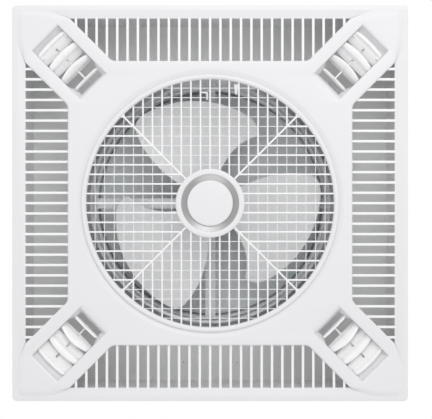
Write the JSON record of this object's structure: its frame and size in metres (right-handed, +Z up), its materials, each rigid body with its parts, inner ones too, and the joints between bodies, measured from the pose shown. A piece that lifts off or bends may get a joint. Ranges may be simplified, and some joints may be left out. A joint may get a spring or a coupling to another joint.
{
  "type": "exhaust fan",
  "caption": "Square ceiling exhaust fan for a tile grid: white panel with slotted sides, round mesh grille, corner louvers on link bars, bladed rotor and damped duct spigot.",
  "frame": {"origin": "middle of the panel in plan, level with its lowest point, the crest of the grille bead", "axes": "+Z points up into the ceiling, out of the duct spigot; +X is to the right and +Y is down in the view from the room below"},
  "size_m": [0.595, 0.595, 0.168],
  "materials": {
    "panel_white": "satin moulded white",
    "grille_white": "satin moulded white",
    "vane_white": "semi-gloss moulded white",
    "link_grey": "plain moulded pale grey",
    "hub_silver": "silver grey",
    "screw_zinc": "zinc plated",
    "galvanised_sheet": "galvanised sheet",
    "motor_paint": "dark grey paint",
    "core_steel": "laminated steel",
    "winding_copper": "enamelled copper",
    "bright_steel": "ground steel",
    "blade_pale": "slightly milky white",
    "black_plastic": "black moulded",
    "gasket_foam": "closed-cell foam",
    "black_rubber": "soft black",
    "capacitor_case": "off-white case",
    "terminal_white": "off-white moulded"
  },
  "bodies": {
    "housing": {"front_panel": "panel_white", "centre_grille": "grille_white", "hub_ring": "hub_silver", "hub_cap": "panel_white", "louver_frame_1": "panel_white", "louver_frame_2": "panel_white", "louver_frame_3": "panel_white", "louver_frame_4": "panel_white", "back_box": "galvanised_sheet", "box_gasket": "gasket_foam", "fan_duct": "galvanised_sheet", "duct_flange": "galvanised_sheet", "duct_screws": "screw_zinc", "panel_screws": "screw_zinc", "hanger_brackets": "galvanised_sheet", "roof_screws": "screw_zinc", "motor_mount": "galvanised_sheet", "motor_screws": "screw_zinc", "motor_front_shell": "motor_paint", "motor_rear_shell": "motor_paint", "stator_core": "core_steel", "windings": "winding_copper", "front_bearing": "bright_steel", "rear_bearing": "bright_steel", "damper_rod": "bright_steel", "control_box": "galvanised_sheet", "control_lid": "galvanised_sheet", "capacitor": "capacitor_case", "terminal_block": "terminal_white", "cable_gland": "black_plastic", "lead_grommets": "black_rubber", "lead_clips": "black_plastic", "motor_lead": "black_rubber"},
    "rotor": {"rotor_core": "core_steel", "motor_shaft": "bright_steel", "fan_blade": "blade_pale", "blade_pin": "bright_steel", "spinner_nut": "black_plastic"},
    "flap_1": {"damper_flap_1": "galvanised_sheet"},
    "flap_2": {"damper_flap_2": "galvanised_sheet"},
    "vane_1a": {"vane_1a": "vane_white"},
    "vane_1b": {"vane_1b": "vane_white"},
    "vane_1c": {"vane_1c": "vane_white"},
    "vane_1d": {"vane_1d": "vane_white"},
    "link_1": {"link_bar_1": "link_grey"},
    "vane_2a": {"vane_2a": "vane_white"},
    "vane_2b": {"vane_2b": "vane_white"},
    "vane_2c": {"vane_2c": "vane_white"},
    "vane_2d": {"vane_2d": "vane_white"},
    "link_2": {"link_bar_2": "link_grey"},
    "vane_3a": {"vane_3a": "vane_white"},
    "vane_3b": {"vane_3b": "vane_white"},
    "vane_3c": {"vane_3c": "vane_white"},
    "vane_3d": {"vane_3d": "vane_white"},
    "link_3": {"link_bar_3": "link_grey"},
    "vane_4a": {"vane_4a": "vane_white"},
    "vane_4b": {"vane_4b": "vane_white"},
    "vane_4c": {"vane_4c": "vane_white"},
    "vane_4d": {"vane_4d": "vane_white"},
    "link_4": {"link_bar_4": "link_grey"}
  },
  "joints": [
    {"name": "fan_spin", "type": "hinge", "parent": "housing", "child": "rotor", "pos_m": [0, 0, 0.084], "axis": [0, 0, 1], "continuous": true},
    {"name": "flap_1_swing", "type": "hinge", "parent": "housing", "child": "flap_1", "pos_m": [0, 0, 0.1625], "axis": [1, 0, 0], "range_deg": [0, 80]},
    {"name": "flap_2_swing", "type": "hinge", "parent": "housing", "child": "flap_2", "pos_m": [0, 0, 0.1625], "axis": [-1, 0, 0], "range_deg": [0, 80]},
    {"name": "vane_1a_turn", "type": "hinge", "parent": "housing", "child": "vane_1a", "pos_m": [-0.23485, -0.23485, 0.0132], "axis": [0.7071, -0.7071, 0], "range_deg": [-12, 30]},
    {"name": "vane_1b_turn", "type": "hinge", "parent": "housing", "child": "vane_1b", "pos_m": [-0.21879, -0.21879, 0.0132], "axis": [0.7071, -0.7071, 0], "range_deg": [-12, 30]},
    {"name": "vane_1c_turn", "type": "hinge", "parent": "housing", "child": "vane_1c", "pos_m": [-0.20274, -0.20274, 0.0132], "axis": [0.7071, -0.7071, 0], "range_deg": [-12, 30]},
    {"name": "vane_1d_turn", "type": "hinge", "parent": "housing", "child": "vane_1d", "pos_m": [-0.18669, -0.18669, 0.0132], "axis": [0.7071, -0.7071, 0], "range_deg": [-12, 30]},
    {"name": "link_1_swing", "type": "hinge", "parent": "vane_1a", "child": "link_1", "pos_m": [-0.23485, -0.23485, 0.0212], "axis": [0.7071, -0.7071, 0], "range_deg": [-30, 12]},
    {"name": "vane_2a_turn", "type": "hinge", "parent": "housing", "child": "vane_2a", "pos_m": [0.23485, -0.23485, 0.0132], "axis": [0.7071, 0.7071, 0], "range_deg": [-12, 30]},
    {"name": "vane_2b_turn", "type": "hinge", "parent": "housing", "child": "vane_2b", "pos_m": [0.21879, -0.21879, 0.0132], "axis": [0.7071, 0.7071, 0], "range_deg": [-12, 30]},
    {"name": "vane_2c_turn", "type": "hinge", "parent": "housing", "child": "vane_2c", "pos_m": [0.20274, -0.20274, 0.0132], "axis": [0.7071, 0.7071, 0], "range_deg": [-12, 30]},
    {"name": "vane_2d_turn", "type": "hinge", "parent": "housing", "child": "vane_2d", "pos_m": [0.18669, -0.18669, 0.0132], "axis": [0.7071, 0.7071, 0], "range_deg": [-12, 30]},
    {"name": "link_2_swing", "type": "hinge", "parent": "vane_2a", "child": "link_2", "pos_m": [0.23485, -0.23485, 0.0212], "axis": [0.7071, 0.7071, 0], "range_deg": [-30, 12]},
    {"name": "vane_3a_turn", "type": "hinge", "parent": "housing", "child": "vane_3a", "pos_m": [0.23485, 0.23485, 0.0132], "axis": [-0.7071, 0.7071, 0], "range_deg": [-12, 30]},
    {"name": "vane_3b_turn", "type": "hinge", "parent": "housing", "child": "vane_3b", "pos_m": [0.21879, 0.21879, 0.0132], "axis": [-0.7071, 0.7071, 0], "range_deg": [-12, 30]},
    {"name": "vane_3c_turn", "type": "hinge", "parent": "housing", "child": "vane_3c", "pos_m": [0.20274, 0.20274, 0.0132], "axis": [-0.7071, 0.7071, 0], "range_deg": [-12, 30]},
    {"name": "vane_3d_turn", "type": "hinge", "parent": "housing", "child": "vane_3d", "pos_m": [0.18669, 0.18669, 0.0132], "axis": [-0.7071, 0.7071, 0], "range_deg": [-12, 30]},
    {"name": "link_3_swing", "type": "hinge", "parent": "vane_3a", "child": "link_3", "pos_m": [0.23485, 0.23485, 0.0212], "axis": [-0.7071, 0.7071, 0], "range_deg": [-30, 12]},
    {"name": "vane_4a_turn", "type": "hinge", "parent": "housing", "child": "vane_4a", "pos_m": [-0.23485, 0.23485, 0.0132], "axis": [-0.7071, -0.7071, 0], "range_deg": [-12, 30]},
    {"name": "vane_4b_turn", "type": "hinge", "parent": "housing", "child": "vane_4b", "pos_m": [-0.21879, 0.21879, 0.0132], "axis": [-0.7071, -0.7071, 0], "range_deg": [-12, 30]},
    {"name": "vane_4c_turn", "type": "hinge", "parent": "housing", "child": "vane_4c", "pos_m": [-0.20274, 0.20274, 0.0132], "axis": [-0.7071, -0.7071, 0], "range_deg": [-12, 30]},
    {"name": "vane_4d_turn", "type": "hinge", "parent": "housing", "child": "vane_4d", "pos_m": [-0.18669, 0.18669, 0.0132], "axis": [-0.7071, -0.7071, 0], "range_deg": [-12, 30]},
    {"name": "link_4_swing", "type": "hinge", "parent": "vane_4a", "child": "link_4", "pos_m": [-0.23485, 0.23485, 0.0212], "axis": [-0.7071, -0.7071, 0], "range_deg": [-30, 12]}
  ],
  "couplings": [
    {"joint": "vane_1b_turn", "follows": "vane_1a_turn", "ratio": 1},
    {"joint": "vane_1c_turn", "follows": "vane_1a_turn", "ratio": 1},
    {"joint": "vane_1d_turn", "follows": "vane_1a_turn", "ratio": 1},
    {"joint": "link_1_swing", "follows": "vane_1a_turn", "ratio": -1},
    {"joint": "vane_2b_turn", "follows": "vane_2a_turn", "ratio": 1},
    {"joint": "vane_2c_turn", "follows": "vane_2a_turn", "ratio": 1},
    {"joint": "vane_2d_turn", "follows": "vane_2a_turn", "ratio": 1},
    {"joint": "link_2_swing", "follows": "vane_2a_turn", "ratio": -1},
    {"joint": "vane_3b_turn", "follows": "vane_3a_turn", "ratio": 1},
    {"joint": "vane_3c_turn", "follows": "vane_3a_turn", "ratio": 1},
    {"joint": "vane_3d_turn", "follows": "vane_3a_turn", "ratio": 1},
    {"joint": "link_3_swing", "follows": "vane_3a_turn", "ratio": -1},
    {"joint": "vane_4b_turn", "follows": "vane_4a_turn", "ratio": 1},
    {"joint": "vane_4c_turn", "follows": "vane_4a_turn", "ratio": 1},
    {"joint": "vane_4d_turn", "follows": "vane_4a_turn", "ratio": 1},
    {"joint": "link_4_swing", "follows": "vane_4a_turn", "ratio": -1}
  ]
}
